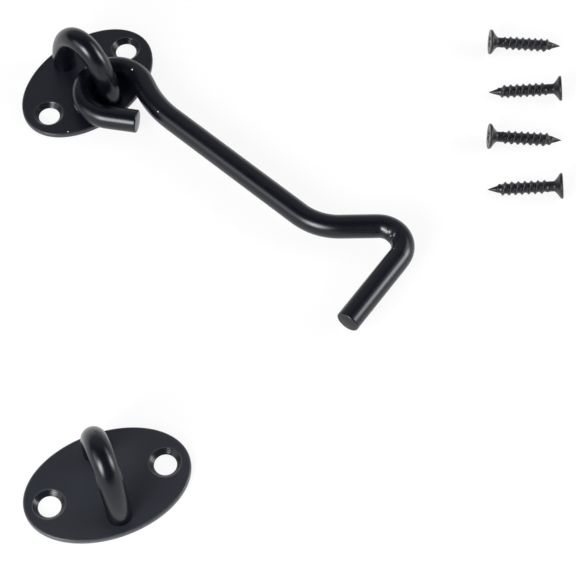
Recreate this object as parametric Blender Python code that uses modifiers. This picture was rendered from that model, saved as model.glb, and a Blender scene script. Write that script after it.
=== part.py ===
"""Hook and eye latch: a bent rod hook on a staple plate, an eye plate and four screws.

The origin is the centre of the hook plate's back face, +X runs along that plate, and +Z points away
from the surface the latch is screwed to.  The eye plate and the screws lie beside the hook, as they do
before the latch is fitted.  Lengths are in metres.
"""
import math

import bmesh
import bpy
from mathutils import Matrix, Vector

MM = 0.001

# Rods and the gaps between pieces
ROD_RADIUS = 2.8 * MM
BAR_RADIUS = 3.15 * MM
SEAT_GAP = 0.3 * MM
LEG_GAP = 0.35 * MM
ROD_END_CHAMFER = 0.35 * MM

# Mounting plates, two alike
PLATE_LENGTH = 43.0 * MM
PLATE_WIDTH = 29.0 * MM
PLATE_THICKNESS = 1.6 * MM
PLATE_EDGE_RADIUS = 0.4 * MM

# Countersunk screw holes in the plates
SCREW_HOLE_RADIUS = 2.9 * MM
COUNTERSINK_DEPTH = 1.3 * MM
HOLE_TO_END = 2.1 * MM

# Staples, two alike: the bar rises from the plate as half an ellipse
TIP_CLEARANCE = 6.6 * MM
CROWN_CLEARANCE = 6.75 * MM
TENON_RADIUS = 2.2 * MM
TENON_RECESS = 0.15 * MM

# Hook rod, from the tail round the loop to the tip
HOOK_LIFT = 1.3 * MM
TAIL_LENGTH = 8.8 * MM
LOOP_PLAY = 2.3 * MM
LOOP_TURN = math.radians(235.2)
LOOP_EXIT_LENGTH = 3.0 * MM
NECK_BEND_RADIUS = 31.0 * MM
NECK_TURN = math.radians(23.3)
SHANK_LENGTH = 47.0 * MM
CRANK_BEND_RADIUS = 16.2 * MM
CRANK_TURN = math.radians(42.6)
CRANK_LENGTH = 9.9 * MM
TIP_BEND_RADIUS = 6.4 * MM
TIP_TURN = math.radians(125.7)
TIP_LENGTH = 23.8 * MM

# Wood screws with countersunk heads
SCREW_LENGTH = 20.2 * MM
SCREW_HEAD_RADIUS = 3.5 * MM
SCREW_RIM = 0.3 * MM
SCREW_NECK_RADIUS = 1.4 * MM
SCREW_NECK_LENGTH = 1.6 * MM
THREAD_RADIUS = 2.0 * MM
THREAD_RUN_IN = 0.6 * MM
POINT_LENGTH = 4.2 * MM
POINT_RADIUS = 0.15 * MM

# Places of the loose pieces on the table
EYE_PLACE = Vector((-84.6 * MM, -93.2 * MM, 0.0))
EYE_TURN = math.radians(-26.0)
FIRST_SCREW_PLACE = Vector((90.8 * MM, -84.3 * MM, 0.0))
SCREW_STEP = Vector((-12.8 * MM, -10.3 * MM, 0.0))
SCREW_COUNT = 4
SCREW_HEADING = math.radians(-48.6)

# Fineness of round forms
PLATE_SEGMENTS = 96
HOLE_SEGMENTS = 40
SCREW_SEGMENTS = 32
ROD_BEVEL_RESOLUTION = 6
ARC_STEP = math.radians(9.0)
STAPLE_STEPS = 30
MERGE = 0.00001
CUT_OVERSHOOT = 1.0 * MM
SMOOTH_ANGLE = math.radians(35.0)

# Sizes that follow from those above
LOOP_RADIUS = ROD_RADIUS + BAR_RADIUS + LEG_GAP + LOOP_PLAY
HOOK_HEIGHT = PLATE_THICKNESS + HOOK_LIFT + ROD_RADIUS
STAPLE_HALF_SPAN = ROD_RADIUS + TIP_CLEARANCE / 2 + BAR_RADIUS
STAPLE_RISE = HOOK_LIFT + 2 * ROD_RADIUS + CROWN_CLEARANCE + BAR_RADIUS
COUNTERSINK_RADIUS = SCREW_HOLE_RADIUS + COUNTERSINK_DEPTH
HOLE_OFFSET = PLATE_LENGTH / 2 - HOLE_TO_END - COUNTERSINK_RADIUS


def clear_scene():
    """Remove every object and the unused data that comes with a new file."""
    for thing in list(bpy.data.objects):
        bpy.data.objects.remove(thing, do_unlink=True)
    for collection in list(bpy.data.collections):
        bpy.data.collections.remove(collection)


def new_collection(name):
    collection = bpy.data.collections.new(name)
    bpy.context.scene.collection.children.link(collection)
    return collection


def painted_steel(name, color, roughness):
    """Black powder paint on steel: the metal is covered, so the surface is not metallic."""
    material = bpy.data.materials.new(name)
    material.use_nodes = True
    shader = material.node_tree.nodes["Principled BSDF"]
    shader.inputs["Base Color"].default_value = (*color, 1.0)
    shader.inputs["Metallic"].default_value = 0.0
    shader.inputs["Roughness"].default_value = roughness
    return material


def mesh_object(name, mesh, collection, material=None):
    """Wrap a mesh in an object, shade its round faces smooth and keep its real edges sharp."""
    thing = bpy.data.objects.new(name, mesh)
    collection.objects.link(thing)
    mesh.shade_smooth()
    mesh.set_sharp_from_angle(angle=SMOOTH_ANGLE)
    if material:
        mesh.materials.append(material)
    return thing


def hide_cutter(thing):
    thing.hide_render = True
    thing.display_type = "WIRE"


def rod(name, points, radii, radius, twist, collection, material):
    """A round bar along the points; radii scale the bar at each point, for shoulders and chamfers."""
    curve = bpy.data.curves.new(name, "CURVE")
    curve.dimensions = "3D"
    curve.twist_mode = twist
    curve.bevel_depth = radius
    curve.bevel_resolution = ROD_BEVEL_RESOLUTION
    curve.use_fill_caps = True
    spline = curve.splines.new("POLY")
    spline.points.add(len(points) - 1)
    for slot, point, share in zip(spline.points, points, radii):
        slot.co = (*point, 1.0)
        slot.radius = share
    spline.use_smooth = True
    curve.materials.append(material)
    thing = bpy.data.objects.new(name, curve)
    collection.objects.link(thing)
    return thing


def turned(name, profile, segments, collection, material=None):
    """Turn a profile of (radius, height) pairs, listed top to bottom, about the Z axis."""
    mesh = bpy.data.meshes.new(name)
    corners = [(radius, 0.0, height) for radius, height in profile]
    mesh.from_pydata(corners, [(i, i + 1) for i in range(len(corners) - 1)], [])
    thing = bpy.data.objects.new(name, mesh)
    collection.objects.link(thing)
    screw = thing.modifiers.new("turn", "SCREW")
    screw.axis = "Z"
    screw.angle = math.tau
    screw.steps = segments
    screw.render_steps = segments
    screw.use_merge_vertices = True
    screw.merge_threshold = MERGE
    screw.use_smooth_shade = True
    if material:
        mesh.materials.append(material)
    return thing


def screw_hole_cutter(name, collection):
    """The through hole with its countersink, open past both faces of the plate."""
    top = PLATE_THICKNESS + CUT_OVERSHOOT
    profile = [
        (0.0, top),
        (COUNTERSINK_RADIUS + CUT_OVERSHOOT, top),
        (SCREW_HOLE_RADIUS, PLATE_THICKNESS - COUNTERSINK_DEPTH),
        (SCREW_HOLE_RADIUS, -CUT_OVERSHOOT),
        (0.0, -CUT_OVERSHOOT),
    ]
    cutter = turned(name, profile, HOLE_SEGMENTS, collection)
    hide_cutter(cutter)
    return cutter


def tenon_hole_cutter(name, collection):
    """The round hole that a staple's tenon stands in."""
    radius = TENON_RADIUS + SEAT_GAP
    depth = PLATE_THICKNESS + 2 * CUT_OVERSHOOT
    shape = bmesh.new()
    bmesh.ops.create_cone(
        shape, cap_ends=True, segments=HOLE_SEGMENTS, radius1=radius, radius2=radius, depth=depth
    )
    mesh = bpy.data.meshes.new(name)
    shape.to_mesh(mesh)
    shape.free()
    cutter = mesh_object(name, mesh, collection)
    hide_cutter(cutter)
    return cutter


def cut(thing, cutter):
    boolean = thing.modifiers.new("cut_" + cutter.name, "BOOLEAN")
    boolean.operation = "DIFFERENCE"
    boolean.solver = "EXACT"
    boolean.object = cutter


def plate(name, pose, parts, cutters, material):
    """An oval pressed plate with a softened rim, two screw holes and two tenon holes."""
    shape = bmesh.new()
    bmesh.ops.create_cone(
        shape, cap_ends=True, segments=PLATE_SEGMENTS, radius1=1.0, radius2=1.0, depth=PLATE_THICKNESS
    )
    bmesh.ops.scale(shape, vec=(PLATE_LENGTH / 2, PLATE_WIDTH / 2, 1.0), verts=shape.verts)
    bmesh.ops.translate(shape, vec=(0.0, 0.0, PLATE_THICKNESS / 2), verts=shape.verts)
    mesh = bpy.data.meshes.new(name)
    shape.to_mesh(mesh)
    shape.free()
    body = mesh_object(name, mesh, parts, material)
    body.matrix_world = pose
    bevel = body.modifiers.new("rim", "BEVEL")
    bevel.width = PLATE_EDGE_RADIUS
    bevel.segments = 3
    bevel.limit_method = "ANGLE"
    bevel.angle_limit = SMOOTH_ANGLE
    for side, word in ((-1, "left"), (1, "right")):
        screw_cutter = screw_hole_cutter(f"{name}_{word}_screw_hole", cutters)
        screw_cutter.matrix_world = pose @ Matrix.Translation((side * HOLE_OFFSET, 0.0, 0.0))
        cut(body, screw_cutter)
        tenon_cutter = tenon_hole_cutter(f"{name}_{word}_tenon_hole", cutters)
        tenon_place = (0.0, side * STAPLE_HALF_SPAN, PLATE_THICKNESS / 2)
        tenon_cutter.matrix_world = pose @ Matrix.Translation(tenon_place)
        cut(body, tenon_cutter)
    return body


def staple(name, pose, parts, material):
    """A bar bent to half an ellipse; each leg has a shoulder and a thinner tenon in the plate."""
    seat = PLATE_THICKNESS + SEAT_GAP
    tenon_share = TENON_RADIUS / BAR_RADIUS
    shoulder = [
        (seat, (BAR_RADIUS - ROD_END_CHAMFER) / BAR_RADIUS),
        (seat - MERGE, tenon_share),
        (TENON_RECESS, tenon_share),
    ]
    arch = []
    for step in range(1, STAPLE_STEPS):
        angle = math.pi * step / STAPLE_STEPS
        arch.append((-math.cos(angle) * STAPLE_HALF_SPAN, seat + math.sin(angle) * STAPLE_RISE))
    points = [(0.0, -STAPLE_HALF_SPAN, height) for height, _ in reversed(shoulder)]
    points += [(0.0, y, z) for y, z in arch]
    points += [(0.0, STAPLE_HALF_SPAN, height) for height, _ in shoulder]
    radii = [share for _, share in reversed(shoulder)]
    radii += [1.0] * len(arch)
    radii += [share for _, share in shoulder]
    body = rod(name, points, radii, BAR_RADIUS, "MINIMUM", parts, material)
    body.matrix_world = pose
    return body


def leg_line(height):
    """How far a staple leg's centre is from the plate's centre at a height above the origin."""
    share = (height - PLATE_THICKNESS - SEAT_GAP) / STAPLE_RISE
    return STAPLE_HALF_SPAN * math.sqrt(1.0 - share * share)


class RodPath:
    """A flat path of straights and arcs, kept as points, with the heading at its end."""

    def __init__(self, start, heading):
        self.points = [Vector(start)]
        self.heading = heading

    def straight(self, length):
        step = Vector((math.cos(self.heading), math.sin(self.heading)))
        self.points.append(self.points[-1] + step * length)

    def arc(self, radius, turn):
        """Bend by an angle, to the left where it is positive."""
        side = math.copysign(1.0, turn)
        normal = Vector((-math.sin(self.heading), math.cos(self.heading))) * side
        centre = self.points[-1] + normal * radius
        spoke = self.points[-1] - centre
        count = max(2, math.ceil(abs(turn) / ARC_STEP))
        for index in range(1, count + 1):
            turned_spoke = Matrix.Rotation(turn * index / count, 2) @ spoke
            self.points.append(centre + turned_spoke)
        self.heading += turn
        return centre


def hook_path():
    """The rod's line seen from above, with the loop's centre at the origin and the shank along -Y."""
    shank_heading = -math.pi / 2
    path = RodPath((0.0, 0.0), shank_heading + LOOP_TURN - NECK_TURN)
    path.straight(ROD_END_CHAMFER)
    path.straight(TAIL_LENGTH - ROD_END_CHAMFER)
    centre = path.arc(LOOP_RADIUS, -LOOP_TURN)
    path.straight(LOOP_EXIT_LENGTH)
    path.arc(NECK_BEND_RADIUS, NECK_TURN)
    path.straight(SHANK_LENGTH)
    path.arc(CRANK_BEND_RADIUS, CRANK_TURN)
    path.straight(CRANK_LENGTH)
    path.arc(TIP_BEND_RADIUS, -TIP_TURN)
    path.straight(TIP_LENGTH - ROD_END_CHAMFER)
    path.straight(ROD_END_CHAMFER)
    return [point - centre for point in path.points]


def hook(name, parts, material):
    """The hook, hung on the near leg of its staple; its origin is on the axis it swings about."""
    axis = Vector((0.0, -leg_line(HOOK_HEIGHT), HOOK_HEIGHT))
    line = hook_path()
    chamfer_share = (ROD_RADIUS - ROD_END_CHAMFER) / ROD_RADIUS
    points = [(point.x, point.y - LOOP_PLAY, 0.0) for point in line]
    radii = [chamfer_share] + [1.0] * (len(points) - 2) + [chamfer_share]
    body = rod(name, points, radii, ROD_RADIUS, "Z_UP", parts, material)
    body.location = axis
    return body


def screw_profile():
    """Half outline of a screw: flat head, cone, neck, thread envelope and gimlet point."""
    cone = SCREW_HEAD_RADIUS - SCREW_NECK_RADIUS
    neck_top = SCREW_RIM + cone
    thread_top = neck_top + SCREW_NECK_LENGTH
    return [
        (0.0, 0.0),
        (SCREW_HEAD_RADIUS, 0.0),
        (SCREW_HEAD_RADIUS, -SCREW_RIM),
        (SCREW_NECK_RADIUS, -neck_top),
        (SCREW_NECK_RADIUS, -thread_top),
        (THREAD_RADIUS, -thread_top - THREAD_RUN_IN),
        (THREAD_RADIUS, POINT_LENGTH - SCREW_LENGTH),
        (POINT_RADIUS, -SCREW_LENGTH),
        (0.0, -SCREW_LENGTH),
    ]


def screw(name, middle, heading, parts, material):
    """A screw on its side: the head's rim and the end of the thread touch the table."""
    span = SCREW_LENGTH - POINT_LENGTH - SCREW_RIM
    dip = math.atan2(SCREW_HEAD_RADIUS - THREAD_RADIUS, span)
    direction = Vector((math.cos(heading) * math.cos(dip), math.sin(heading) * math.cos(dip), -math.sin(dip)))
    head = middle - direction * (SCREW_LENGTH / 2)
    head.z = SCREW_HEAD_RADIUS * math.cos(dip) + SCREW_RIM * math.sin(dip)
    body = turned(name, screw_profile(), SCREW_SEGMENTS, parts, material)
    body.rotation_mode = "QUATERNION"
    body.rotation_quaternion = (-direction).to_track_quat("Z", "Y")
    body.location = head
    return body


def build():
    clear_scene()
    parts = new_collection("hook_and_eye_latch")
    cutters = new_collection("cutters")
    hook_side = Matrix.Identity(4)
    eye_side = Matrix.Translation(EYE_PLACE) @ Matrix.Rotation(EYE_TURN, 4, "Z")
    plate_paint = painted_steel("black_plate_paint", (0.018, 0.019, 0.023), 0.42)
    staple_paint = painted_steel("black_staple_paint", (0.014, 0.014, 0.016), 0.34)
    hook_paint = painted_steel("black_hook_paint", (0.012, 0.012, 0.014), 0.32)
    screw_paint = painted_steel("black_screw_finish", (0.016, 0.016, 0.018), 0.45)
    plate("hook_plate", hook_side, parts, cutters, plate_paint)
    staple("hook_staple", hook_side, parts, staple_paint)
    hook("hook", parts, hook_paint)
    plate("eye_plate", eye_side, parts, cutters, plate_paint)
    staple("eye_staple", eye_side, parts, staple_paint)
    for index in range(SCREW_COUNT):
        middle = FIRST_SCREW_PLACE + SCREW_STEP * index
        heading = SCREW_HEADING + math.pi * (index % 2)
        screw(f"screw_{index + 1}", middle, heading, parts, screw_paint)
    bpy.context.view_layer.update()


build()
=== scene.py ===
"""Hook and eye latch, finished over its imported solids: bent rods, pressed plates and wood screws.

Each piece is a surface worked out on a grid and stands where its solid stands.  Lengths are in
metres, and the origin is the centre of the hook plate's back, with +Z away from the surface
behind it.
"""
import math

import bmesh
import bpy
import numpy as np
from mathutils import Matrix


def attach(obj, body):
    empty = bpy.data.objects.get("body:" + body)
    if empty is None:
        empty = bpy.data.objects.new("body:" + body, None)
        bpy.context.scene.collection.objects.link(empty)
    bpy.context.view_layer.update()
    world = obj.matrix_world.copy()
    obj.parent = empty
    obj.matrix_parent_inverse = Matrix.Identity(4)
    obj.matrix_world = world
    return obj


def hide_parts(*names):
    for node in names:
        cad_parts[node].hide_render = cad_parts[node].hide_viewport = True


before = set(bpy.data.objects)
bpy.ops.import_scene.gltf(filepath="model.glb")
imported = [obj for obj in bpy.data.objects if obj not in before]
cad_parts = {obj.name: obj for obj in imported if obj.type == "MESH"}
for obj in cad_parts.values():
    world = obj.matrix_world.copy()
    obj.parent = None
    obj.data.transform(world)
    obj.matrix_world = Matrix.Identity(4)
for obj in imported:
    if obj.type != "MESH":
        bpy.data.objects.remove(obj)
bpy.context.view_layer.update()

MM = 0.001
QUARTER_TURN = math.pi / 2

# Rods
ROD_RADIUS = 3.2 * MM
BAR_RADIUS = 3.15 * MM
ROD_SIDES = 72
ROD_SHARP_ANGLE = math.radians(50.0)
END_ROUND = 0.35 * MM
END_ROUND_ROWS = 6
END_DOME = 0.14 * MM
END_FACE_SHARES = np.array((0.96, 0.85, 0.7, 0.5, 0.28, 0.0))
END_FACE_ROWS = len(END_FACE_SHARES)
END_WORN_REACH = 1.6 * END_ROUND
END_WORN_FROM = (ROD_RADIUS - END_ROUND) * 0.99

# Plates
PLATE_HALF_LENGTH = 21.5 * MM
PLATE_HALF_WIDTH = 14.5 * MM
PLATE_THICKNESS = 1.6 * MM
PLATE_EDGE_RADIUS = 0.4 * MM
PLATE_SHARP_ANGLE = math.radians(55.0)
HALF_SECTOR = math.radians(45.0)
ARC_POINTS = 49
RAY_POINTS = 22
RIM_ROWS = 7
FACE_ROWS = np.concatenate([[0.0, 0.02, 0.05], np.linspace(0.1, 0.9, 13), [0.95, 0.98, 1.0]])
HOLE_WORN_WIDTH = 0.45 * MM
RIM_WORN_WIDTH = 0.9 * MM
FRONT_RIM_WORN = 0.5
BACK_RIM_WORN = 0.3

# Holes in the plates
HOLE_OFFSET = 15.2 * MM
SCREW_HOLE_RADIUS = 2.9 * MM
COUNTERSINK_RADIUS = 4.0 * MM
COUNTERSINK_FLOOR = 0.3 * MM
COUNTERSINK_ROUND = 0.12 * MM
COUNTERSINK_ROWS = 49
TOOL_RINGS = 3.0
TOOL_RING_DEPTH = 0.036 * MM
TOOL_RING_FADE = 6.0
TENON_HOLE_RADIUS = 2.5 * MM

# Staples; a tenon's closing gives heights over its end and shares of its radius
STAPLE_HALF_SPAN = 9.25 * MM
STAPLE_FOOT = 1.9 * MM
STAPLE_RISE = 16.8 * MM
STAPLE_STATIONS = 181
SHOULDER_HEIGHT = PLATE_THICKNESS + 0.01 * MM
SHOULDER_ROUND = 0.16 * MM
SHOULDER_LEAD = 0.05 * MM
SHOULDER_ROWS = 5
SHOULDER_WORN = 0.5
SHOULDER_WORN_HEIGHT = 0.5 * MM
TENON_RADIUS = 2.44 * MM
TENON_END = 0.15 * MM
TENON_CLOSING = np.array(((0.12 * MM, 1.0), (0.03 * MM, 0.96), (0.0, 0.6), (0.0, 0.0)))

# Hook, from the tail round the loop to the tip
HOOK_HEIGHT = 5.7 * MM
LEG_AXIS_Y = -9.0103 * MM
LOOP_PLAY = 2.0 * MM
TAIL_LENGTH = 8.8 * MM
LOOP_RADIUS = 8.6 * MM
LOOP_TURN = math.radians(235.2)
LOOP_EXIT_LENGTH = 3.0 * MM
NECK_BEND_RADIUS = 31.0 * MM
NECK_TURN = math.radians(23.3)
SHANK_LENGTH = 47.3 * MM
CRANK_BEND_RADIUS = 16.2 * MM
CRANK_TURN = math.radians(42.6)
CRANK_LENGTH = 9.9 * MM
TIP_BEND_RADIUS = 6.4 * MM
TIP_TURN = math.radians(125.7)
TIP_LENGTH = 23.8 * MM
STATION_STEP = 0.4 * MM
BEND_SMOOTHING = 3
BEND_THINNING = 0.05
BEND_SWELLING = 0.03

# Creases in the tip bend, the only one whose radius is under CREASED_BELOW: places are walked along
# the rod, angles go round it, and a wander is how far and how often a phase moves on the way round
CREASED_BELOW = 7.0 * MM
CREASE_STEP = 0.09 * MM
CREASE_PLACE = 134.0 * MM
CREASE_REACH = 2.7 * MM
CREASE_DEPTH = 0.085 * MM
CREASE_STRAIN = 0.4
CREASE_STRAIN_FADE = 0.08
CREASE_WORN = 0.8
FOLD_LENGTH = 0.66 * MM
FOLD_WANDERS = ((1.9, 2.0), (0.8, 5.0))
FINE_FOLD_SIZE = 0.6
FINE_FOLD_RATE = 2.3
FINE_FOLD_WANDER = (2.0, 3.0)
NOTCH_PLACE = 135.8 * MM
NOTCH_LENGTH = 0.4 * MM
NOTCH_ANGLE = math.radians(146.0)
NOTCH_SPREAD = 0.3
NOTCH_DEPTH = 0.26 * MM

# Wood screws: depths go from the head's face to the point, and the rim's rows are (radius, depth)
SCREW_LENGTH = 20.2 * MM
SCREW_SIDES = 56
SCREW_SHARP_ANGLE = math.radians(60.0)
SCREW_HEAD_RADIUS = 3.5 * MM
SCREW_FACE_RADIUS = SCREW_HEAD_RADIUS - 0.12 * MM
SCREW_FACE_ROWS = 30
SCREW_RIM = 0.3 * MM
SCREW_RIM_SHOWN = 0.62 * MM
SCREW_RIM_PROFILE = np.array((
    (SCREW_HEAD_RADIUS - 0.04 * MM, 0.04 * MM), (SCREW_HEAD_RADIUS, 0.16 * MM),
    (SCREW_HEAD_RADIUS - 0.03 * MM, SCREW_RIM_SHOWN - 0.16 * MM),
    (SCREW_HEAD_RADIUS - 0.07 * MM, SCREW_RIM_SHOWN - 0.04 * MM),
    (SCREW_HEAD_RADIUS - 0.15 * MM, SCREW_RIM_SHOWN),
))
SCREW_CONE_SHARES = np.linspace(0.06, 0.94, 14)
SCREW_CONE_FLARE = 1.4
SCREW_NECK_RADIUS = 1.4 * MM
SCREW_NECK_LENGTH = 0.9 * MM
SCREW_NECK_LEAD = 0.1 * MM
SCREW_NECK_TOP = SCREW_RIM + SCREW_HEAD_RADIUS - SCREW_NECK_RADIUS
THREAD_TOP = SCREW_NECK_TOP + SCREW_NECK_LENGTH
THREAD_RADIUS = 2.0 * MM
THREAD_CREST = 1.9 * MM
THREAD_CORE = 1.36 * MM
THREAD_PITCH = 1.75 * MM
THREAD_FLANK = 0.3
THREAD_BLUNTNESS = 1.12
THREAD_RUNOUT = 1.2 * THREAD_PITCH
THREAD_ROWS = 420
POINT_LENGTH = 4.2 * MM
SMOOTH_POINT = 1.9 * MM
POINT_CORE_POWER = 0.85
POINT_CREST_POWER = 0.7
POINT_CREST_SIZE = 1.02
HEAD_WORN_DEPTH = 0.1 * MM
HEAD_WORN_REACH = 0.12 * MM
HEAD_WORN_FROM = 0.93 * SCREW_HEAD_RADIUS
CREST_WORN = 0.6
CREST_WORN_FROM = 0.93 * THREAD_CREST
CREST_WORN_SPAN = 0.07 * THREAD_CREST

# The cross in the screw heads
SLOT_HALF_WIDTH = 0.42 * MM
SLOT_WALL = 0.1 * MM
SLOT_REACH = 2.15 * MM
SLOT_RAMP = 0.9 * MM
CROSS_MIDDLE = 0.95 * MM
CROSS_MIDDLE_RAMP = 0.5 * MM
CROSS_DEPTH = 1.5 * MM

# Places on the table
EYE_PLACE = np.array((-84.6, -93.2, 0.0)) * MM
EYE_TURN = math.radians(-26.0)
FIRST_SCREW_PLACE = np.array((90.8, -84.3, 0.0)) * MM
SCREW_STEP = np.array((-12.8, -10.3, 0.0)) * MM
SCREW_COUNT = 4
SCREW_HEADING = math.radians(-48.6)
SCREW_ROLL_STEP = 0.7

# Camera
CAMERA_PLACE = np.array((-201.5, -274.0, 432.9)) * MM
CAMERA_AZIMUTH = -45.44
CAMERA_ELEVATION = 58.48
CAMERA_ROLL = -2.49
CAMERA_NEAREST = 1.0 * MM
CAMERA_FARTHEST = 20.0
CAMERA_FOCAL_PIXELS = 1928.5
IMAGE_SIDE = 576
SENSOR_WIDTH = 36.0
SET_MIDDLE = np.array((0.0, -50.0, 0.0)) * MM

# Table and room: the wall's fade is a cosine from its direction, an azimuth and elevation of view,
# and the horizon's fade is a sine of the elevation
WHITE = (1.0, 1.0, 1.0)
TABLE_HALF_SIDE = 3.0
TABLE_HEIGHT = -0.02 * MM
TABLE_GREY = (0.86, 0.86, 0.86)
TABLE_GLOW = 0.86
WALL_DIRECTION = (140.0, 25.0)
WALL_FADE = (0.45, 1.0)
WALL = (0.42, 0.43, 0.45)
CEILING = (0.09, 0.095, 0.105)
HORIZON_FADE = (0.04, 0.22)
EVEN_LIGHT = (0.44, 0.45, 0.47)

# Softboxes: name, azimuth and elevation of view, angles across and upright that one fills, radiance
LAMP_DISTANCE = 1.0
SOFTBOXES = (
    ("left_softbox", -81.0, 31.0, 42.0, 46.0, 20.5),
    ("left_fill", -113.0, 27.0, 50.0, 50.0, 3.0),
    ("right_softbox", 42.0, 22.0, 40.0, 44.0, 13.8),
    ("right_fill", 64.0, 36.0, 44.0, 44.0, 3.0),
)

# Bare spots in the paint: places and sizes in millimetres, how ragged they are, and colours. The
# grey spots in the tip bend's crease are partly bare steel where the paint cracked and partly
# painted highlight, grey dabs for the glints of the crinkled bend
BARE_SPOT = (0.75, 0.75, 0.75)
CREASE_BARE_AND_GLINT = (0.36, 0.36, 0.37)
PLATE_CHIPS = (
    ((-16.06, -8.59, 1.6), 0.2, 0.0, BARE_SPOT),
)
HOOK_CHIPS_AND_GLINTS = (
    ((7.61, -11.1, 8.74), 0.24, 0.0, BARE_SPOT),
    ((2.27, -26.34, 8.15), 0.2, 0.0, BARE_SPOT),
    # Crease spots: partly cracked paint, partly painted glints of the crinkled tip bend
    ((14.09, -97.43, 7.92), 0.75, 1.1, CREASE_BARE_AND_GLINT),
    ((14.2, -98.07, 7.76), 1.1, 1.15, CREASE_BARE_AND_GLINT),
    ((14.29, -98.74, 7.67), 1.2, 1.15, CREASE_BARE_AND_GLINT),
    ((14.6, -99.4, 7.95), 0.9, 1.1, CREASE_BARE_AND_GLINT),
    ((14.13, -100.29, 7.58), 0.55, 1.1, CREASE_BARE_AND_GLINT),
    ((14.45, -101.01, 8.15), 0.55, 1.1, CREASE_BARE_AND_GLINT),
    ((11.34, -103.74, 8.29), 0.35, 1.1, CREASE_BARE_AND_GLINT),
)

# Paints: tones of the film, worn edges and dust, then how the film shines and how rough it lies
GLOSS_TINT = (0.95, 0.96, 1.0)
TONE_ROUGHNESS = 0.06
GRAIN_ROUGHNESS = 0.04
WORN_ROUGHNESS = -0.06
FILM_RELIEF = 0.02 * MM
GREY_DUST = (0.3, 0.3, 0.3)
ROD_EDGE = (0.02, 0.02, 0.023)
DEEPEST_TONES = {"deep": (0.0016, 0.0020, 0.0046), "light": (0.0024, 0.0029, 0.0056)}
PAINTS = {
    "black_plate_paint": {
        "deep": (0.0050, 0.0061, 0.0104), "light": (0.0068, 0.0082, 0.0132),
        "edge": (0.03, 0.031, 0.036), "dust": GREY_DUST,
        "roughness": 0.30, "specular": 0.45, "bump": 0.08,
        "swell_scale": 450.0, "dust_free": 0.985, "chips_and_glints": PLATE_CHIPS,
    },
    # The eye plate's paint is the plate's black made lighter in its tones and its edge: a painted
    # sheen, a reflection put into its colour
    "eye_plate_paint_with_painted_sheen": {
        "deep": (0.014, 0.0155, 0.021), "light": (0.018, 0.020, 0.026),
        "edge": (0.05, 0.051, 0.056), "dust": GREY_DUST,
        "roughness": 0.30, "specular": 0.5, "bump": 0.08,
        "swell_scale": 450.0, "dust_free": 0.985,
    },
    "black_countersink_paint": {
        **DEEPEST_TONES, "edge": (0.03, 0.031, 0.036), "dust": GREY_DUST,
        "roughness": 0.17, "specular": 0.45, "bump": 0.02,
        "swell_scale": 450.0, "dust_free": 0.985,
    },
    "black_staple_paint": {
        **DEEPEST_TONES, "edge": ROD_EDGE, "dust": (0.35, 0.35, 0.35),
        "roughness": 0.20, "specular": 0.45, "bump": 0.07,
        "swell_scale": 380.0, "dust_free": 0.992,
    },
    "black_hook_paint": {
        **DEEPEST_TONES, "edge": ROD_EDGE, "dust": (0.5, 0.5, 0.5),
        "roughness": 0.19, "specular": 0.45, "bump": 0.05,
        "swell_scale": 380.0, "dust_free": 0.99, "chips_and_glints": HOOK_CHIPS_AND_GLINTS,
    },
    "black_cut_end_paint": {
        "deep": (0.003, 0.0035, 0.006), "light": (0.009, 0.010, 0.013),
        "edge": ROD_EDGE, "dust": GREY_DUST,
        "roughness": 0.30, "specular": 0.2, "bump": 0.5,
        "swell_scale": 900.0, "dust_free": 0.99,
    },
    "black_screw_finish": {
        "deep": (0.004, 0.004, 0.005), "light": (0.009, 0.009, 0.010),
        "edge": (0.04, 0.04, 0.042), "dust": (0.2, 0.2, 0.2),
        "roughness": 0.30, "specular": 0.5, "bump": 0.12,
        "swell_scale": 1500.0, "dust_free": 0.98,
    },
}

# Meshes: how near two points are to be one, and the layer that says how near an edge a point is
WELD = 0.0000002
EDGE_LAYER = "edge"


def ease(share):
    """Smooth step of a share held between 0 and 1: 3t² - 2t³."""
    share = np.clip(share, 0.0, 1.0)
    return share * share * (3.0 - 2.0 * share)


def around(count):
    """Angles once round, equally spaced, without the repeat of the first."""
    return np.linspace(0.0, math.tau, count, endpoint=False)


def grid_faces(rows, columns, start):
    """Four-cornered faces between neighbouring closed rows of points, numbered from a start."""
    row, column = np.meshgrid(np.arange(rows - 1), np.arange(columns), indexing="ij")
    here = row * columns + column
    beside = row * columns + (column + 1) % columns
    faces = np.stack([here, beside, beside + columns, here + columns], axis=-1)
    return faces.reshape(-1, 4) + start


def set_down(points, turn, place):
    """Points turned about the upright axis and moved to their place on the table."""
    spin = np.array((
        (math.cos(turn), -math.sin(turn), 0.0),
        (math.sin(turn), math.cos(turn), 0.0),
        (0.0, 0.0, 1.0),
    ))
    return points @ spin.T + place


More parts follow.
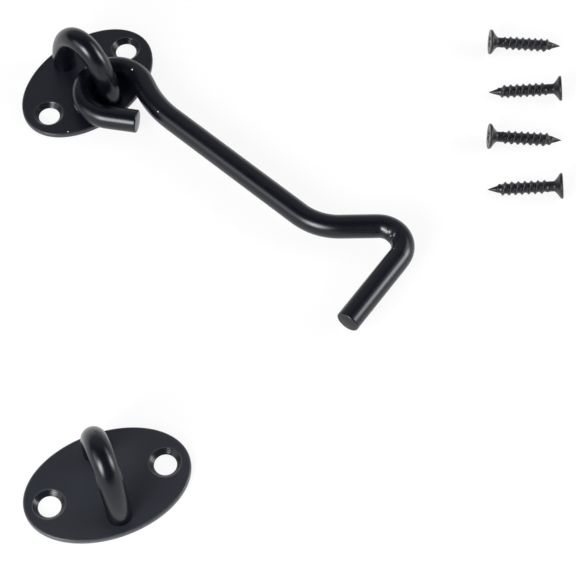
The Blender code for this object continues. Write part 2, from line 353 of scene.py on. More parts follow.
class Skin:
    """Grids of points gathered into one closed surface, with how near each point is to an edge."""

    def __init__(self):
        """An empty surface."""
        self.points = []
        self.faces = []
        self.edges = []
        self.paints = []
        self.count = 0

    def add(self, points, edge, paint=0):
        """A grid of closed rows, of shape (rows, columns, 3), its edge values and its material.

        The edge is one number, or an array with a value for each row or for each point.
        """
        rows, columns = points.shape[:2]
        faces = grid_faces(rows, columns, self.count)
        self.points.append(points.reshape(-1, 3))
        self.faces.append(faces)
        self.edges.append(np.broadcast_to(edge, (rows, columns)).reshape(-1))
        self.paints.append(np.full(len(faces), paint))
        self.count += rows * columns

    def piece(self, name, materials, sharp_angle):
        """Join the grids where they meet, close the poles, turn the faces out and shade them."""
        mesh = bpy.data.meshes.new(name)
        mesh.from_pydata(np.concatenate(self.points), [], np.concatenate(self.faces))
        layer = mesh.attributes.new(EDGE_LAYER, "FLOAT", "POINT")
        layer.data.foreach_set("value", np.concatenate(self.edges).astype(np.float32))
        paints = np.concatenate(self.paints).astype(np.int32)
        mesh.polygons.foreach_set("material_index", paints)
        shape = bmesh.new()
        shape.from_mesh(mesh)
        bmesh.ops.remove_doubles(shape, verts=shape.verts, dist=WELD)
        bmesh.ops.recalc_face_normals(shape, faces=shape.faces)
        shape.to_mesh(mesh)
        shape.free()
        mesh.shade_smooth()
        mesh.set_sharp_from_angle(angle=sharp_angle)
        for material in materials:
            mesh.materials.append(material)
        return placed(name, mesh)


def placed(name, data):
    """A new object for a mesh, lamp or camera, in the scene."""
    thing = bpy.data.objects.new(name, data)
    bpy.context.scene.collection.objects.link(thing)
    return thing


def rod_line(start, heading, moves):
    """A flat line of straights and arcs as arrays: points, headings and turn per length.

    A straight adds length times its heading.  An arc keeps its radius from a centre on the side it
    turns to, so its point is the centre plus the spoke turned by the share of the arc walked.
    """
    points, headings, turns = [np.array([start])], [np.array([heading])], [np.zeros(1)]
    here = np.array(start)
    for kind, size, turn in moves:
        length = size if kind == "straight" else size * abs(turn)
        step = CREASE_STEP if kind == "arc" and size < CREASED_BELOW else STATION_STEP
        share = np.linspace(0.0, 1.0, max(2, math.ceil(length / step)) + 1)[1:]
        if kind == "straight":
            along = np.array((math.cos(heading), math.sin(heading)))
            line = here + share[:, None] * length * along
            facing = np.full(len(share), heading)
            rate = np.zeros(len(share))
        else:
            side = math.copysign(1.0, turn)
            centre = here + side * size * np.array((-math.sin(heading), math.cos(heading)))
            facing = heading + turn * share
            line = centre + side * size * np.stack([np.sin(facing), -np.cos(facing)], axis=-1)
            rate = np.full(len(share), side / size)
        points.append(line)
        headings.append(facing)
        turns.append(rate)
        here = line[-1]
        heading = facing[-1]
    return np.concatenate(points), np.concatenate(headings), np.concatenate(turns)


def smoothed(values, reach):
    """Running mean over a few stations either way, so a bend starts and ends gently."""
    kernel = np.ones(2 * reach + 1) / (2 * reach + 1)
    return np.convolve(np.pad(values, reach, mode="edge"), kernel, mode="valid")


def rod_end(outward):
    """Rows that close a cut rod end: a quarter round from the skin in, then a slightly domed face.

    Gives distances past the end's start and radii.  Outward is +1 for a line's last end, and -1
    for its first, where the rows run the other way.
    """
    angle = np.linspace(0.0, QUARTER_TURN, END_ROUND_ROWS + 1)
    reach = END_ROUND * np.sin(angle)
    radii = ROD_RADIUS - END_ROUND + END_ROUND * np.cos(angle)
    reach = np.concatenate([reach, END_ROUND + END_DOME * (1.0 - END_FACE_SHARES ** 2)])
    radii = np.concatenate([radii, (ROD_RADIUS - END_ROUND) * END_FACE_SHARES])
    if outward < 0:
        return -reach[::-1], radii[::-1]
    return reach, radii


def hook_line():
    """The hook's line seen from above, from its tail to its tip, with its loop round the near leg.

    The loop's centre lies past the leg's axis by the play.  The line starts a tail's length before
    the point of the loop where its heading is along the tail.
    """
    moves = (
        ("straight", TAIL_LENGTH - END_ROUND, 0.0),
        ("arc", LOOP_RADIUS, -LOOP_TURN),
        ("straight", LOOP_EXIT_LENGTH, 0.0),
        ("arc", NECK_BEND_RADIUS, NECK_TURN),
        ("straight", SHANK_LENGTH, 0.0),
        ("arc", CRANK_BEND_RADIUS, CRANK_TURN),
        ("straight", CRANK_LENGTH, 0.0),
        ("arc", TIP_BEND_RADIUS, -TIP_TURN),
        ("straight", TIP_LENGTH - END_ROUND, 0.0),
    )
    heading = -QUARTER_TURN + LOOP_TURN - NECK_TURN
    along = np.array((math.cos(heading), math.sin(heading)))
    loop_centre = np.array((0.0, LEG_AXIS_Y - LOOP_PLAY))
    inward = np.array((math.sin(heading), -math.cos(heading)))
    start = loop_centre - inward * LOOP_RADIUS - along * (TAIL_LENGTH - END_ROUND)
    return rod_line(start, heading, moves)


def tip_creases(walked, strain, inner, angle):
    """Creases on the inner side of the tight tip bend: how creased, raised and sunk each point is.

    They fade in with the strain and the inner side, and as a bell along the rod.  The raised part
    is a sum of two waves along the rod whose phases wander round it, and the sunk part is one
    notch, a bell along the rod and round it.
    """
    from_crease = (walked - CREASE_PLACE) / CREASE_REACH
    tight = ease((strain - CREASE_STRAIN) / CREASE_STRAIN_FADE)
    tight = tight * np.sqrt(inner) * np.exp(-from_crease ** 2)
    phase = math.tau * walked / FOLD_LENGTH
    for reach, waves in FOLD_WANDERS:
        phase = phase + reach * np.sin(waves * angle)
    reach, waves = FINE_FOLD_WANDER
    fine_phase = FINE_FOLD_RATE * phase + reach * np.cos(waves * angle)
    folds = np.sin(phase) + FINE_FOLD_SIZE * np.sin(fine_phase)
    notch = np.exp(
        -((walked - NOTCH_PLACE) / NOTCH_LENGTH) ** 2 - ((angle - NOTCH_ANGLE) / NOTCH_SPREAD) ** 2
    )
    return tight, tight * CREASE_DEPTH * folds, notch * NOTCH_DEPTH


def hook(material, end_material):
    """The bent rod: skin = line + r(s, u) (cos u · left + sin u · up).

    In a bend the rod gets a little thinner across the bend and thicker upright, in proportion to
    rod radius over bend radius.  The tip bend's creases add to the radius.
    """
    line, headings, turns = hook_line()
    step = np.linalg.norm(np.diff(line, axis=0), axis=1)
    walked = np.concatenate([[0.0], np.cumsum(step)])
    turns = smoothed(turns, BEND_SMOOTHING)
    tail_reach, tail_radii = rod_end(-1)
    tip_reach, tip_radii = rod_end(1)

    along = np.stack([np.cos(headings), np.sin(headings)], axis=-1)
    line = np.concatenate([
        line[0] + tail_reach[:, None] * along[0], line, line[-1] + tip_reach[:, None] * along[-1]
    ])
    headings = np.pad(headings, (len(tail_reach), len(tip_reach)), mode="edge")
    turns = np.pad(turns, (len(tail_reach), len(tip_reach)))
    radii = np.concatenate([tail_radii, np.full(len(walked), ROD_RADIUS), tip_radii])
    walked = np.concatenate([tail_reach, walked, walked[-1] + tip_reach])

    angle = around(ROD_SIDES)
    strain = np.abs(turns[:, None]) * ROD_RADIUS
    inner = np.clip(np.cos(angle) * np.sign(turns)[:, None], 0.0, 1.0)
    across = 1.0 - BEND_THINNING * strain
    upright = 1.0 + BEND_SWELLING * strain
    creased, raised, sunk = tip_creases(walked[:, None], strain, inner, angle)
    radius = radii[:, None] + raised - sunk
    left = np.stack([-np.sin(headings), np.cos(headings), 0.0 * headings], axis=-1)
    up = np.array((0.0, 0.0, 1.0))
    centres = np.concatenate([line, np.full((len(line), 1), HOOK_HEIGHT)], axis=1)
    skin = (
        centres[:, None]
        + (radius * across * np.cos(angle))[..., None] * left[:, None]
        + (radius * upright * np.sin(angle))[..., None] * up
    )
    near_end = np.minimum(walked - walked[0], walked[-1] - walked)
    on_round = (radii > END_WORN_FROM) * (1.0 - ease(near_end / END_WORN_REACH))
    edge = np.maximum(on_round[:, None], CREASE_WORN * creased)
    body = Skin()
    body.add(skin[:-END_FACE_ROWS], edge[:-END_FACE_ROWS])
    body.add(skin[-END_FACE_ROWS - 1:], edge[-END_FACE_ROWS - 1:], 1)
    return body.piece("bent_rod_hook", [material, end_material], ROD_SHARP_ANGLE)


def foot_profile():
    """A staple's foot from the bar down, as heights and radii: a round, the shoulder and the tenon.

    The round is a quarter circle: height falls with the sine of its angle, radius with the cosine.
    """
    quarter = np.linspace(0.0, QUARTER_TURN, SHOULDER_ROWS)
    heights = np.concatenate([
        [SHOULDER_HEIGHT + SHOULDER_ROUND + SHOULDER_LEAD],
        SHOULDER_HEIGHT + SHOULDER_ROUND * (1.0 - np.sin(quarter)),
        [SHOULDER_HEIGHT], TENON_END + TENON_CLOSING[:, 0],
    ])
    radii = np.concatenate([
        [BAR_RADIUS], BAR_RADIUS - SHOULDER_ROUND * (1.0 - np.cos(quarter)),
        [TENON_RADIUS], TENON_RADIUS * TENON_CLOSING[:, 1],
    ])
    return heights, radii


def staple(name, turn_on_table, place, material):
    """A bar bent to half an ellipse: y = -H cos t, z = foot + rise sin t, t from 0 to half a turn.

    Each foot stands on the plate with a small round, and a thinner tenon goes on through it.
    """
    turn = math.pi * np.linspace(0.0, 1.0, STAPLE_STATIONS)
    line = np.stack([
        0.0 * turn, -STAPLE_HALF_SPAN * np.cos(turn), STAPLE_FOOT + STAPLE_RISE * np.sin(turn)
    ], axis=-1)
    slope = np.stack([
        0.0 * turn, STAPLE_HALF_SPAN * np.sin(turn), STAPLE_RISE * np.cos(turn)
    ], axis=-1)
    slope /= np.linalg.norm(slope, axis=1)[:, None]

    foot_heights, foot_radii = foot_profile()
    near = np.stack([
        0.0 * foot_heights, 0.0 * foot_heights - STAPLE_HALF_SPAN, foot_heights
    ], axis=-1)
    far = near * np.array((1.0, -1.0, 1.0))
    rising = np.tile((0.0, 0.0, 1.0), (len(near), 1))
    centres = np.concatenate([near[::-1], line, far])
    tangents = np.concatenate([rising, slope, -rising])
    radii = np.concatenate([foot_radii[::-1], np.full(len(line), BAR_RADIUS), foot_radii])

    angle = around(ROD_SIDES)
    sideways = np.array((1.0, 0.0, 0.0))
    outward = np.cross(tangents, sideways)
    skin = (
        centres[:, None]
        + (radii[:, None] * np.cos(angle))[..., None] * sideways
        + (radii[:, None] * np.sin(angle))[..., None] * outward[:, None]
    )
    over_shoulder = (centres[:, 2] - SHOULDER_HEIGHT) / SHOULDER_WORN_HEIGHT
    edge = SHOULDER_WORN * (1.0 - ease(over_shoulder))
    body = Skin()
    body.add(set_down(skin, turn_on_table, place), edge[:, None])
    return body.piece(name, [material], ROD_SHARP_ANGLE)


def ellipse(turn, inset):
    """Points on the plate's outline, moved inwards along the outline's normal by the inset."""
    outline = np.stack([
        PLATE_HALF_LENGTH * np.cos(turn), PLATE_HALF_WIDTH * np.sin(turn)
    ], axis=-1)
    normal = np.stack([
        PLATE_HALF_WIDTH * np.cos(turn), PLATE_HALF_LENGTH * np.sin(turn)
    ], axis=-1)
    normal /= np.linalg.norm(normal, axis=-1, keepdims=True)
    return outline - inset * normal


def sector_turns(middle):
    """Turns along a sector's share of the plate's outline, either side of its middle."""
    return np.linspace(middle - HALF_SECTOR, middle + HALF_SECTOR, ARC_POINTS)


def sector_border(middle):
    """A quarter of the plate's face as a closed line: out from the centre, round, and back."""
    arc = ellipse(sector_turns(middle), PLATE_EDGE_RADIUS)
    share = np.linspace(0.0, 1.0, RAY_POINTS)[:, None]
    outwards = share * arc[0]
    back = share[::-1] * arc[-1]
    return np.concatenate([outwards[:-1], arc, back[1:-1]])


def face_with_hole(body, border, hole, radius, height, hole_edge, rim_edge):
    """One sector of a flat face: each border point is joined in a straight line to the hole's edge.

    The rows lie closer together near the hole and near the border.  Gives the spokes, which are
    the directions from the hole's middle to the border.
    """
    spoke = border - hole
    spoke /= np.linalg.norm(spoke, axis=1)[:, None]
    inner = hole + radius * spoke
    flat = inner + FACE_ROWS[:, None, None] * (border - inner)
    points = np.concatenate([flat, np.full(flat.shape[:2] + (1,), height)], axis=-1)
    from_hole = np.linalg.norm(flat - inner, axis=-1)
    edge = hole_edge * (1.0 - ease(from_hole / HOLE_WORN_WIDTH))
    squash = np.array((PLATE_HALF_LENGTH, PLATE_HALF_WIDTH))
    from_rim = (1.0 - np.linalg.norm(flat / squash, axis=-1)) * PLATE_HALF_WIDTH
    edge = np.maximum(edge, rim_edge * (1.0 - ease(from_rim / RIM_WORN_WIDTH)))
    body.add(points, edge)
    return spoke


def hole_wall(body, hole, spoke, profile, wall_edge, paint):
    """A hole's wall: a profile of (radius, height) carried round along the spokes of its sector."""
    radii = profile[:, 0][:, None, None]
    ring = hole + radii * spoke
    heights = np.broadcast_to(profile[:, 1][:, None, None], ring.shape[:2] + (1,))
    body.add(np.concatenate([ring, heights], axis=-1), wall_edge[:, None], paint)


def countersink_profile():
    """A turned countersink: a small round at the top, a cone with tool rings, a lip and the bore.

    The rings are a sine along the cone that fades out at both ends.  Gives rows of (radius,
    height), and how worn each row is.
    """
    share = np.linspace(0.0, 1.0, COUNTERSINK_ROWS)
    start = np.array((
        COUNTERSINK_RADIUS - 0.6 * COUNTERSINK_ROUND, PLATE_THICKNESS - COUNTERSINK_ROUND
    ))
    end = np.array((SCREW_HOLE_RADIUS + 0.06 * MM, COUNTERSINK_FLOOR + 0.02 * MM))
    cone = start + share[:, None] * (end - start)
    faded = ease(share * TOOL_RING_FADE) * ease((1.0 - share) * TOOL_RING_FADE)
    cone[:, 0] -= TOOL_RING_DEPTH * np.sin(math.tau * share * TOOL_RINGS) * faded
    top = np.array([
        (COUNTERSINK_RADIUS + 0.05 * MM, PLATE_THICKNESS),
        (COUNTERSINK_RADIUS, PLATE_THICKNESS - 0.02 * MM),
        (COUNTERSINK_RADIUS - 0.3 * COUNTERSINK_ROUND, PLATE_THICKNESS - 0.5 * COUNTERSINK_ROUND),
    ])
    bore = np.array([
        (SCREW_HOLE_RADIUS, COUNTERSINK_FLOOR - 0.05 * MM),
        (SCREW_HOLE_RADIUS, 0.08 * MM),
        (SCREW_HOLE_RADIUS + 0.03 * MM, 0.02 * MM),
        (SCREW_HOLE_RADIUS + 0.08 * MM, 0.0),
    ])
    edge = np.concatenate([[0.9, 1.0, 0.7], np.zeros(COUNTERSINK_ROWS), [0.5, 0.2, 0.3, 0.4]])
    return np.concatenate([top, cone, bore]), edge


def plate(name, turn_on_table, place, material, sink_material):
    """An oval pressed plate: four sectors round its four holes, front and back, and a rounded rim.

    The rim is a half ring: height and inset follow a quarter circle at the front and at the back.
    """
    sink, sink_edge = countersink_profile()
    tenon_wall = np.array([
        (TENON_HOLE_RADIUS, PLATE_THICKNESS), (TENON_HOLE_RADIUS, PLATE_THICKNESS / 2),
        (TENON_HOLE_RADIUS, 0.0),
    ])
    tenon_edge = np.zeros(len(tenon_wall))
    holes = (
        (0.0, (HOLE_OFFSET, 0.0), sink, sink_edge, 1),
        (QUARTER_TURN, (0.0, STAPLE_HALF_SPAN), tenon_wall, tenon_edge, 0),
        (math.pi, (-HOLE_OFFSET, 0.0), sink, sink_edge, 1),
        (3.0 * QUARTER_TURN, (0.0, -STAPLE_HALF_SPAN), tenon_wall, tenon_edge, 0),
    )
    body = Skin()
    for middle, hole, wall, wall_edge, paint in holes:
        border = sector_border(middle)
        spoke = face_with_hole(
            body, border, hole, wall[0, 0], PLATE_THICKNESS, wall_edge[0], FRONT_RIM_WORN
        )
        hole_wall(body, hole, spoke, wall, wall_edge, paint)
        face_with_hole(body, border, hole, wall[-1, 0], 0.0, 0.0, BACK_RIM_WORN)
    turn = np.concatenate([sector_turns(middle)[:-1] for middle, *_ in holes])
    quarter = np.linspace(0.0, QUARTER_TURN, RIM_ROWS)
    front_inset = PLATE_EDGE_RADIUS * (1.0 - np.sin(quarter))
    front_height = PLATE_THICKNESS - PLATE_EDGE_RADIUS * (1.0 - np.cos(quarter))
    insets = np.concatenate([front_inset, front_inset[::-1]])
    heights = np.concatenate([front_height, PLATE_THICKNESS - front_height[::-1]])
    rim = ellipse(turn[None, :], insets[:, None, None])
    heights = np.broadcast_to(heights[:, None, None], rim.shape[:2] + (1,))
    body.add(np.concatenate([rim, heights], axis=-1), 1.0)
    body.points = [set_down(points, turn_on_table, place) for points in body.points]
    return body.piece(name, [material, sink_material], PLATE_SHARP_ANGLE)


def thread_ridge(share):
    """The thread's height at a share of its pitch: a ridge with straight sides and a blunt top."""
    return np.clip(THREAD_BLUNTNESS - np.abs(share - 0.5) / THREAD_FLANK, 0.0, 1.0)


def cross_slot(beside, along):
    """One slot of the cross: 1 in its middle, with steep walls beside it and a ramp at each end."""
    wall = ease((SLOT_HALF_WIDTH - np.abs(beside)) / SLOT_WALL)
    return wall * ease((SLOT_REACH - np.abs(along)) / SLOT_RAMP)


def cross_recess(across, along):
    """Depth of the driver's cross: the deeper of two slots, joined by a round pit at the middle."""
    slots = np.maximum(cross_slot(across, along), cross_slot(along, across))
    pit = ease((CROSS_MIDDLE - np.hypot(across, along)) / CROSS_MIDDLE_RAMP)
    return CROSS_DEPTH * np.maximum(slots, pit)


def screw_rows(angle):
    """A screw's rows from the middle of its face to its point: radii and depths along its axis.

    Radius = core + ridge · (crest - core), wound with the angle.  The head is a flared cone,
    neck + (head - neck)(1 - share)^flare, with a thick rim and a cross recess.  The thread fades in
    under the neck, narrows with the core and leaves the point smooth.
    """
    round_whole = np.ones((1, SCREW_SIDES))
    face_radius = np.linspace(0.0, 1.0, SCREW_FACE_ROWS)[:, None] * SCREW_FACE_RADIUS
    face_depth = cross_recess(face_radius * np.cos(angle), face_radius * np.sin(angle))
    cone = np.stack([
        SCREW_NECK_RADIUS
        + (SCREW_HEAD_RADIUS - SCREW_NECK_RADIUS) * (1.0 - SCREW_CONE_SHARES) ** SCREW_CONE_FLARE,
        SCREW_RIM_SHOWN + SCREW_CONE_SHARES * (SCREW_NECK_TOP - SCREW_RIM_SHOWN),
    ], axis=-1)
    head = np.concatenate([SCREW_RIM_PROFILE, cone])

    depth = np.linspace(SCREW_NECK_TOP + SCREW_NECK_LEAD, SCREW_LENGTH, THREAD_ROWS)
    to_point = np.clip((SCREW_LENGTH - depth) / POINT_LENGTH, 0.0, 1.0)
    fade_in = ease((depth - THREAD_TOP) / THREAD_PITCH)
    fade_out = ease((SCREW_LENGTH - SMOOTH_POINT - depth) / THREAD_RUNOUT)
    core = THREAD_CORE + (SCREW_NECK_RADIUS - THREAD_CORE) * (1.0 - fade_in)
    core = core * to_point ** POINT_CORE_POWER
    crest = THREAD_CREST * np.minimum(1.0, to_point ** POINT_CREST_POWER * POINT_CREST_SIZE)
    wound = (depth[:, None] / THREAD_PITCH - angle / math.tau) % 1.0
    height = fade_in * fade_out * np.maximum(crest - core, 0.0)
    shank = core[:, None] + height[:, None] * thread_ridge(wound)
    radii = np.concatenate([face_radius * round_whole, head[:, :1] * round_whole, shank])
    depths = np.concatenate([
        face_depth * round_whole, head[:, 1:] * round_whole, depth[:, None] * round_whole
    ])
    return radii, depths


def screw(name, middle, heading, roll, material):
    """A wood screw on its side, resting on its head's rim and its thread: it dips by their ratio.

    Skin = head's middle + depth · forward + radius (cos u · side + sin u · upward).
    """
    angle = around(SCREW_SIDES)
    radii, depths = screw_rows(angle)
    dip = math.atan2(SCREW_HEAD_RADIUS - THREAD_RADIUS, SCREW_LENGTH - POINT_LENGTH - SCREW_RIM)
    forward = np.array((
        math.cos(heading) * math.cos(dip), math.sin(heading) * math.cos(dip), -math.sin(dip)
    ))
    side = np.array((-math.sin(heading), math.cos(heading), 0.0))
    upward = np.cross(side, forward)
    head_middle = middle - forward * SCREW_LENGTH / 2
    head_middle[2] = SCREW_HEAD_RADIUS * math.cos(dip) + SCREW_RIM * math.sin(dip)
    skin = (
        head_middle
        + depths[..., None] * forward
        + (radii * np.cos(angle + roll))[..., None] * side
        + (radii * np.sin(angle + roll))[..., None] * upward
    )
    head_worn = np.exp(-(((depths - HEAD_WORN_DEPTH) / HEAD_WORN_REACH) ** 2))
    crest_worn = CREST_WORN * ease((radii - CREST_WORN_FROM) / CREST_WORN_SPAN)
    body = Skin()
    body.add(skin, np.maximum(
        head_worn * (radii > HEAD_WORN_FROM), crest_worn * (depths > THREAD_TOP)
    ))
    return body.piece(name, [material], SCREW_SHARP_ANGLE)


def new_group(name, inputs, outputs):
    """A shader node group with named inputs and outputs; each output is a number."""
    tree = bpy.data.node_groups.new(name, "ShaderNodeTree")
    for label, kind, value in inputs:
        socket = tree.interface.new_socket(name=label, in_out="INPUT", socket_type=kind)
        if value is not None:
            socket.default_value = value
    for label in outputs:
        tree.interface.new_socket(name=label, in_out="OUTPUT", socket_type="NodeSocketFloat")
    return tree, tree.nodes.new("NodeGroupInput"), tree.nodes.new("NodeGroupOutput")


def add_node(tree, kind, settings=(), values=()):
    """A node with its settings and its inputs: each is a value or the socket that feeds it."""
    node = tree.nodes.new(kind)
    for key, value in settings:
        setattr(node, key, value)
    for key, value in values:
        if isinstance(value, bpy.types.NodeSocket):
            tree.links.new(value, node.inputs[key])
        else:
            node.inputs[key].default_value = value
    return node


def math_node(tree, operation, *inputs):
    """A Math node's result: each input is a number or the socket that feeds it."""
    node = add_node(tree, "ShaderNodeMath", (("operation", operation),), enumerate(inputs))
    return node.outputs[0]


def noise_node(tree, place, scale, detail, roughness):
    """A Noise texture's factor at a place; its scale is a number or the socket that feeds it."""
    node = add_node(tree, "ShaderNodeTexNoise", (), (
        ("Vector", place), ("Scale", scale), ("Detail", detail), ("Roughness", roughness)
    ))
    return node.outputs["Fac"]


def distance_node(tree, first, second):
    """The distance between two places."""
    node = add_node(
        tree, "ShaderNodeVectorMath", (("operation", "DISTANCE"),), ((0, first), (1, second))
    )
    return node.outputs["Value"]


def ramp(tree, value, low, high):
    """A share from 0 at low to 1 at high, eased at both ends."""
    node = add_node(tree, "ShaderNodeMapRange", (("interpolation_type", "SMOOTHSTEP"),), (
        ("From Min", low), ("From Max", high), ("Value", value)
    ))
    return node.outputs["Result"]


def object_place(tree):
    """The place on the piece, in its own coordinates."""
    return tree.nodes.new("ShaderNodeTexCoord").outputs["Object"]


def powder_grain_group():
    """Powder paint: the slow swell of the cured film, a fine grain on it and a drift of tone."""
    tree, inside, outside = new_group(
        "powder_grain",
        (("Swell Scale", "NodeSocketFloat", 700.0), ("Grain Scale", "NodeSocketFloat", 5200.0),
         ("Grain Share", "NodeSocketFloat", 0.35)),
        ("Height", "Tone", "Grain"),
    )
    place = object_place(tree)
    swell = noise_node(tree, place, inside.outputs["Swell Scale"], detail=2.0, roughness=0.55)
    grain = noise_node(tree, place, inside.outputs["Grain Scale"], detail=3.0, roughness=0.55)
    tone = noise_node(tree, place, 70.0, detail=4.0, roughness=0.6)
    share = inside.outputs["Grain Share"]
    fine = math_node(tree, "MULTIPLY", grain, share)
    slow = math_node(tree, "MULTIPLY", swell, math_node(tree, "SUBTRACT", 1.0, share))
    tree.links.new(math_node(tree, "ADD", fine, slow), outside.inputs["Height"])
    tree.links.new(ramp(tree, tone, low=0.3, high=0.7), outside.inputs["Tone"])
    tree.links.new(ramp(tree, grain, low=0.35, high=0.65), outside.inputs["Grain"])
    return tree


def worn_edge_group():
    """Where paint is thin: the piece's own edge layer, broken up by a patchy noise."""
    tree, inside, outside = new_group(
        "worn_edge",
        (("Patch Scale", "NodeSocketFloat", 1400.0), ("Spread", "NodeSocketFloat", 0.5)),
        ("Mask",),
    )
    place = object_place(tree)
    layer = add_node(tree, "ShaderNodeAttribute", (("attribute_name", EDGE_LAYER),))
    patch = noise_node(tree, place, inside.outputs["Patch Scale"], detail=5.0, roughness=0.65)
    patch = math_node(tree, "ADD", patch, inside.outputs["Spread"])
    worn = math_node(tree, "MULTIPLY", layer.outputs["Fac"], patch)
    tree.links.new(ramp(tree, worn, low=0.15, high=0.95), outside.inputs["Mask"])
    return tree


def dust_group():
    """Sparse pale specks: small spots in a few cells of a cell pattern."""
    tree, inside, outside = new_group(
        "dust_specks",
        (("Cells", "NodeSocketFloat", 260.0), ("Speck Size", "NodeSocketFloat", 0.07),
         ("Empty Share", "NodeSocketFloat", 0.9)),
        ("Mask",),
    )
    cells = add_node(tree, "ShaderNodeTexVoronoi", (), (
        ("Vector", object_place(tree)), ("Scale", inside.outputs["Cells"])
    ))
    split = add_node(tree, "ShaderNodeSeparateColor", (), (("Color", cells.outputs["Color"]),))
    chosen = math_node(tree, "GREATER_THAN", split.outputs["Red"], inside.outputs["Empty Share"])
    small = math_node(tree, "LESS_THAN", cells.outputs["Distance"], inside.outputs["Speck Size"])
    tree.links.new(math_node(tree, "MULTIPLY", chosen, small), outside.inputs["Mask"])
    return tree


def chip_and_glint_group():
    """One small spot, a bare chip, and in the tip bend's crease also a painted glint: 1 where the
    surface is nearer to a place than the spot's size.

    Raggedness times a noise is added to the distance's share of the size, which breaks the
    outline up.
    """
    tree, inside, outside = new_group(
        "paint_chip_and_glint",
        (("Place", "NodeSocketVector", None), ("Size", "NodeSocketFloat", 0.2 * MM),
         ("Raggedness", "NodeSocketFloat", 0.0)),
        ("Mask",),
    )
    place = object_place(tree)
    apart = distance_node(tree, place, inside.outputs["Place"])
    share = math_node(tree, "DIVIDE", apart, inside.outputs["Size"])
    noise = noise_node(tree, place, 3500.0, detail=2.0, roughness=0.6)
    share = math_node(tree, "MULTIPLY_ADD", noise, inside.outputs["Raggedness"], share)
    past = ramp(tree, share, low=0.7, high=1.1)
    tree.links.new(math_node(tree, "SUBTRACT", 1.0, past), outside.inputs["Mask"])
    return tree


def use_group(tree, group, values=()):
    """A node that places a group in a material, with the values of its own."""
    return add_node(tree, "ShaderNodeGroup", (("node_tree", group),), values)


def mix_color(tree, share, first, second):
    """Two colours mixed by a share; each is a colour or the socket that feeds it."""
    node = add_node(tree, "ShaderNodeMix", (("data_type", "RGBA"),), (("Factor", share),))
    for label, value in (("A", first), ("B", second)):
        socket = next(s for s in node.inputs if s.name == label and s.type == "RGBA")
        if isinstance(value, tuple):
            socket.default_value = (*value, 1.0)
        else:
            tree.links.new(value, socket)
    return next(s for s in node.outputs if s.type == "RGBA")


def black_paint(
    name, groups, *, deep, light, edge, dust, roughness, specular, bump, swell_scale, dust_free,
    chips_and_glints=(),
):
    """Black paint over steel: tone and roughness drift slowly, and worn edges are a little bright.

    Dust free is the share of cells without a speck, and bump is how strong the film's relief is.
    """
    grain_tree, edge_tree, dust_tree, chip_and_glint_tree = groups
    material = bpy.data.materials.new(name)
    material.use_nodes = True
    tree = material.node_tree
    shader = tree.nodes["Principled BSDF"]
    grain = use_group(tree, grain_tree, (("Swell Scale", swell_scale),))
    worn = use_group(tree, edge_tree)
    specks = use_group(tree, dust_tree, (("Empty Share", dust_free),))
    color = mix_color(tree, grain.outputs["Tone"], deep, light)
    color = mix_color(tree, worn.outputs["Mask"], color, edge)
    color = mix_color(tree, specks.outputs["Mask"], color, dust)
    # Bare spots painted in, and in the tip bend's crease also painted highlights: grey dabs for the
    # glints of the crinkles
    for place, size, raggedness, spot_color in chips_and_glints:
        spot_node = use_group(tree, chip_and_glint_tree, (
            ("Place", [part * MM for part in place]), ("Size", size * MM),
            ("Raggedness", raggedness),
        ))
        color = mix_color(tree, spot_node.outputs["Mask"], color, spot_color)
    tree.links.new(color, shader.inputs["Base Color"])
    drift = math_node(tree, "MULTIPLY_ADD", grain.outputs["Tone"], TONE_ROUGHNESS, roughness)
    drift = math_node(tree, "MULTIPLY_ADD", grain.outputs["Grain"], GRAIN_ROUGHNESS, drift)
    drift = math_node(tree, "MULTIPLY_ADD", worn.outputs["Mask"], WORN_ROUGHNESS, drift)
    tree.links.new(drift, shader.inputs["Roughness"])
    relief = add_node(tree, "ShaderNodeBump", (), (
        ("Strength", bump), ("Distance", FILM_RELIEF), ("Height", grain.outputs["Height"])
    ))
    tree.links.new(relief.outputs["Normal"], shader.inputs["Normal"])
    shader.inputs["Specular IOR Level"].default_value = specular
    shader.inputs["Specular Tint"].default_value = (*GLOSS_TINT, 1.0)
    return material


def glow_share(tree):
    """1 for rays that a camera, a mirror or glass sends, which see the backdrop as plain white."""
    path = tree.nodes.new("ShaderNodeLightPath")
    share = math_node(tree, "MAXIMUM", path.outputs["Is Camera Ray"], path.outputs["Is Glossy Ray"])
    return math_node(tree, "MAXIMUM", share, path.outputs["Is Transmission Ray"])


def blend_to_surface(tree, share, first, second, kind):
    """Two shaders mixed by a share and joined to the output of a material or a world."""
    blend = add_node(tree, "ShaderNodeMixShader", (), (("Fac", share),))
    tree.links.new(first.outputs[0], blend.inputs[1])
    tree.links.new(second.outputs[0], blend.inputs[2])
    tree.links.new(blend.outputs[0], tree.nodes.new(kind).inputs["Surface"])


def pale_floor():
    """A broad pale table under the pieces: white where it is seen, with a faint shadow kept."""
    mesh = bpy.data.meshes.new("table")
    corners = [
        (side * TABLE_HALF_SIDE, end * TABLE_HALF_SIDE, TABLE_HEIGHT)
        for side, end in ((-1.0, -1.0), (1.0, -1.0), (1.0, 1.0), (-1.0, 1.0))
    ]
    mesh.from_pydata(corners, [], [(0, 1, 2, 3)])
    table = placed("table", mesh)
    material = bpy.data.materials.new("pale_table")
    material.use_nodes = True
    tree = material.node_tree
    tree.nodes.clear()
    matt = add_node(tree, "ShaderNodeBsdfDiffuse", (), (("Color", (*TABLE_GREY, 1.0)),))
    glow = add_node(tree, "ShaderNodeEmission", (), (("Color", (*WHITE, 1.0)), ("Strength", 1.0)))
    share = math_node(tree, "MULTIPLY", glow_share(tree), TABLE_GLOW)
    blend_to_surface(tree, share, matt, glow, "ShaderNodeOutputMaterial")
    mesh.materials.append(material)


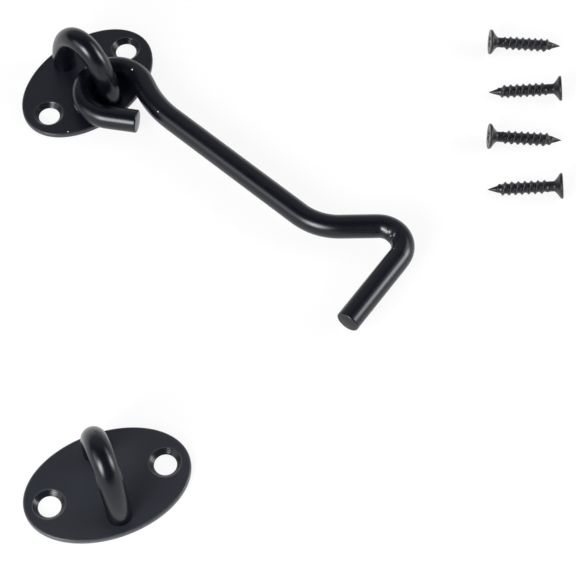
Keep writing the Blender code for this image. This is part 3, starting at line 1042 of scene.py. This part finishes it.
def view_direction(azimuth, elevation):
    """Towards a viewer at an azimuth and elevation: (sin az cos el, -cos az cos el, sin el)."""
    azimuth, elevation = math.radians(azimuth), math.radians(elevation)
    return np.array((
        math.sin(azimuth) * math.cos(elevation), -math.cos(azimuth) * math.cos(elevation),
        math.sin(elevation),
    ))


def studio_world():
    """The room: a dim ceiling, a paler wall behind the table, and white near the table's horizon.

    The camera and mirrors see the room; matt surfaces are lit by its even level.
    """
    world = bpy.data.worlds.new("studio")
    world.use_nodes = True
    tree = world.node_tree
    tree.nodes.clear()
    direction = tree.nodes.new("ShaderNodeTexCoord").outputs["Generated"]
    facing = add_node(tree, "ShaderNodeVectorMath", (("operation", "DOT_PRODUCT"),), (
        (0, direction), (1, view_direction(*WALL_DIRECTION))
    ))
    wall = ramp(tree, facing.outputs["Value"], *WALL_FADE)
    room = mix_color(tree, wall, CEILING, WALL)
    split = add_node(tree, "ShaderNodeSeparateXYZ", (), ((0, direction),))
    height = ramp(tree, split.outputs["Z"], *HORIZON_FADE)
    color = mix_color(tree, height, WHITE, room)
    seen = add_node(tree, "ShaderNodeBackground", (), (("Color", color),))
    even = add_node(tree, "ShaderNodeBackground", (), (("Color", (*EVEN_LIGHT, 1.0)),))
    blend_to_surface(tree, glow_share(tree), even, seen, "ShaderNodeOutputWorld")
    bpy.context.scene.world = world


def looking(azimuth, elevation, roll, place=None, distance=0.0):
    """A pose that looks along a view: its back is the direction towards the viewer.

    Its sides are the level side and their cross product, turned by the roll.  Without a place it
    stands the distance away from the middle of the set.
    """
    back = view_direction(azimuth, elevation)
    azimuth, roll = math.radians(azimuth), math.radians(roll)
    level = np.array((math.cos(azimuth), math.sin(azimuth), 0.0))
    upright = np.cross(back, level)
    right = math.cos(roll) * level + math.sin(roll) * upright
    up = -math.sin(roll) * level + math.cos(roll) * upright
    pose = Matrix(np.stack([right, up, back], axis=1).tolist()).to_4x4()
    pose.translation = SET_MIDDLE + back * distance if place is None else place
    return pose


def soft_light(name, azimuth, elevation, wide, high, radiance):
    """A softbox that looks at the middle of the set from an azimuth and elevation of view.

    Its sides are given as the angles that it fills, and its power follows from how bright its
    middle looks.  The light on its cloth falls off from the middle to nothing at its edge.
    """
    lamp = bpy.data.lights.new(name, "AREA")
    lamp.shape = "RECTANGLE"
    width, height = (
        2.0 * LAMP_DISTANCE * math.tan(math.radians(angle) / 2) for angle in (wide, high)
    )
    lamp.size = width
    lamp.size_y = height
    lamp.energy = radiance * math.pi * width * height
    lamp.use_nodes = True
    tree = lamp.node_tree
    on_cloth = tree.nodes.new("ShaderNodeNewGeometry").outputs["Parametric"]
    from_middle = distance_node(tree, on_cloth, (0.5, 0.5, 0.0))
    strength = math_node(tree, "SUBTRACT", 1.0, ramp(tree, from_middle, low=0.0, high=0.5))
    tree.links.new(strength, tree.nodes["Emission"].inputs["Strength"])
    placed(name, lamp).matrix_world = looking(azimuth, elevation, 0.0, distance=LAMP_DISTANCE)


def camera():
    """The view of the photograph."""
    lens = bpy.data.cameras.new("camera")
    lens.sensor_width = SENSOR_WIDTH
    lens.lens = CAMERA_FOCAL_PIXELS * SENSOR_WIDTH / IMAGE_SIDE
    lens.clip_start = CAMERA_NEAREST
    lens.clip_end = CAMERA_FARTHEST
    thing = placed("camera", lens)
    thing.matrix_world = looking(CAMERA_AZIMUTH, CAMERA_ELEVATION, CAMERA_ROLL, CAMERA_PLACE)
    bpy.context.scene.camera = thing


def fit(piece, body, node):
    """The piece moves with its body and stands for the solid, which is hidden."""
    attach(piece, body)
    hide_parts(node)


def build():
    """The latch's pieces on their bodies, then the table, the room, the camera and the lamps."""
    groups = (powder_grain_group(), worn_edge_group(), dust_group(), chip_and_glint_group())
    paints = {name: black_paint(name, groups, **looks) for name, looks in PAINTS.items()}
    for side, turn, place, face_paint in (
        ("hook", 0.0, np.zeros(3), "black_plate_paint"),
        ("eye", EYE_TURN, EYE_PLACE, "eye_plate_paint_with_painted_sheen"),
    ):
        oval = plate(
            f"oval_{side}_plate", turn, place, paints[face_paint], paints["black_countersink_paint"]
        )
        bow = staple(f"{side}_plate_staple", turn, place, paints["black_staple_paint"])
        fit(oval, "base", f"{side}_plate")
        fit(bow, "base", f"{side}_staple")
    rod = hook(paints["black_hook_paint"], paints["black_cut_end_paint"])
    fit(rod, "hook", "hook")
    for index in range(SCREW_COUNT):
        thing = screw(
            f"wood_screw_{index + 1}",
            FIRST_SCREW_PLACE + SCREW_STEP * index,
            SCREW_HEADING + math.pi * (index % 2),
            SCREW_ROLL_STEP * index,
            paints["black_screw_finish"],
        )
        fit(thing, "base", f"screw_{index + 1}")

    pale_floor()
    studio_world()
    camera()
    for softbox in SOFTBOXES:
        soft_light(*softbox)
    bpy.context.scene.view_settings.view_transform = "Standard"


build()
